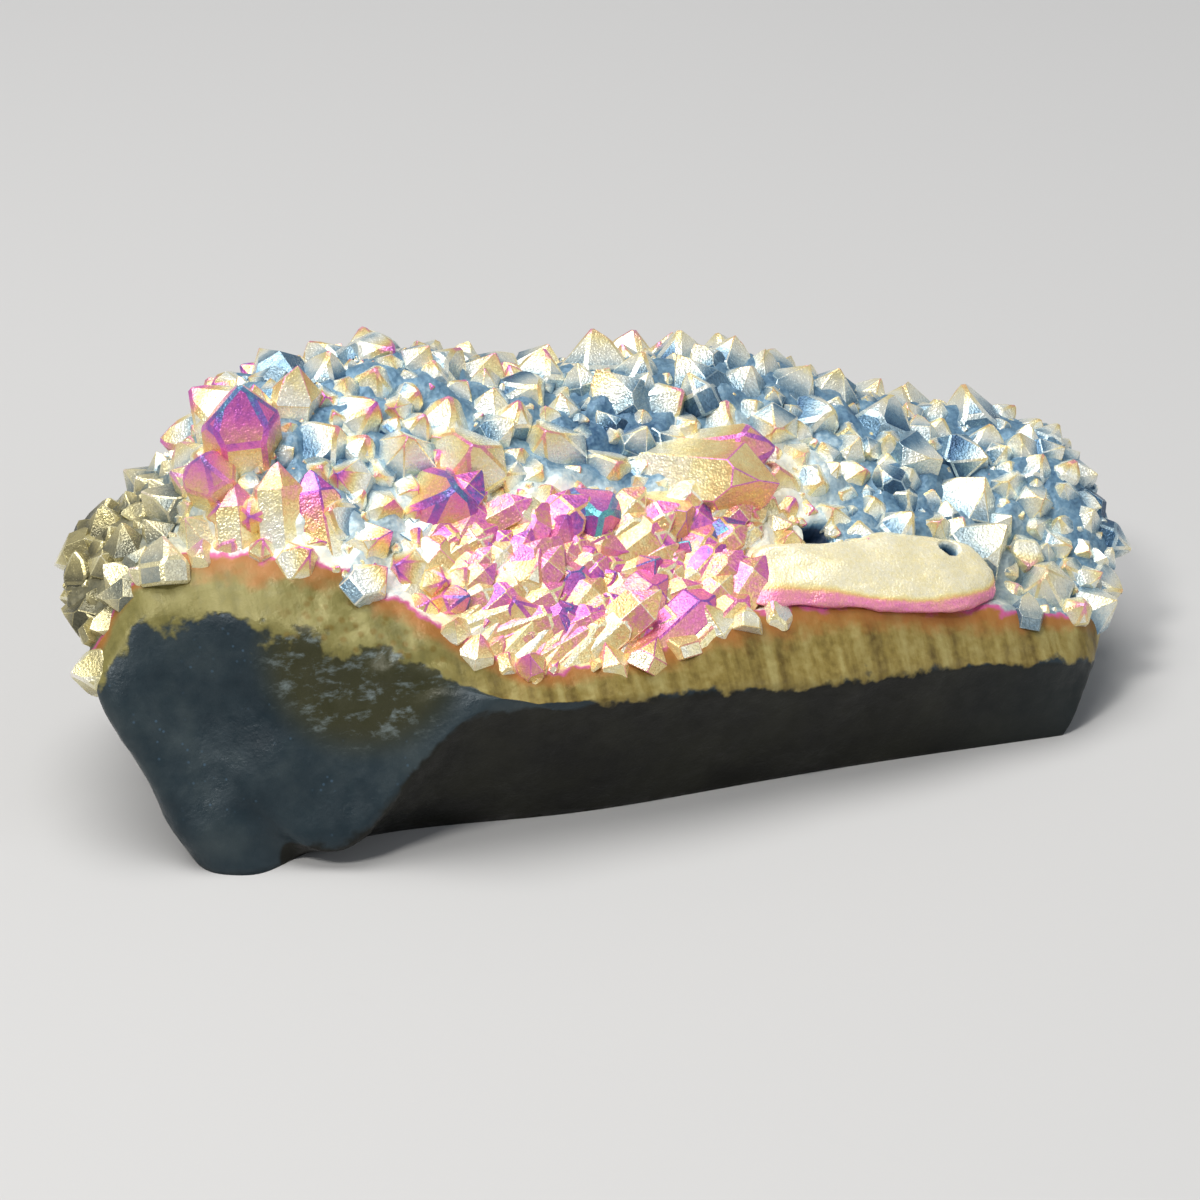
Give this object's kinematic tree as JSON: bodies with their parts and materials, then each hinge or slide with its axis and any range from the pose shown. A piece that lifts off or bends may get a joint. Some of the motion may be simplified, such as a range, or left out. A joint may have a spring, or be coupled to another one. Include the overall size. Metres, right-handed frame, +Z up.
{
  "type": "aura quartz cluster",
  "caption": "Broken chunk of coated aura quartz: flat-bottomed grey stone with a golden band and a crust of blocky iridescent crystals on top.",
  "frame": {"origin": "centre of the bounding box in plan, at the height of the flat underside", "axes": "+X along the length from the tall left end to the low right end, +Z up, -Y towards the broken front face"},
  "size_m": [0.0924, 0.0414, 0.0339],
  "materials": {
    "aura_quartz": "glossy, iridescent metal film on crystals, waxy grey where broken"
  },
  "bodies": {
    "root": {"aura_quartz_cluster": "aura_quartz"}
  },
  "joints": []
}
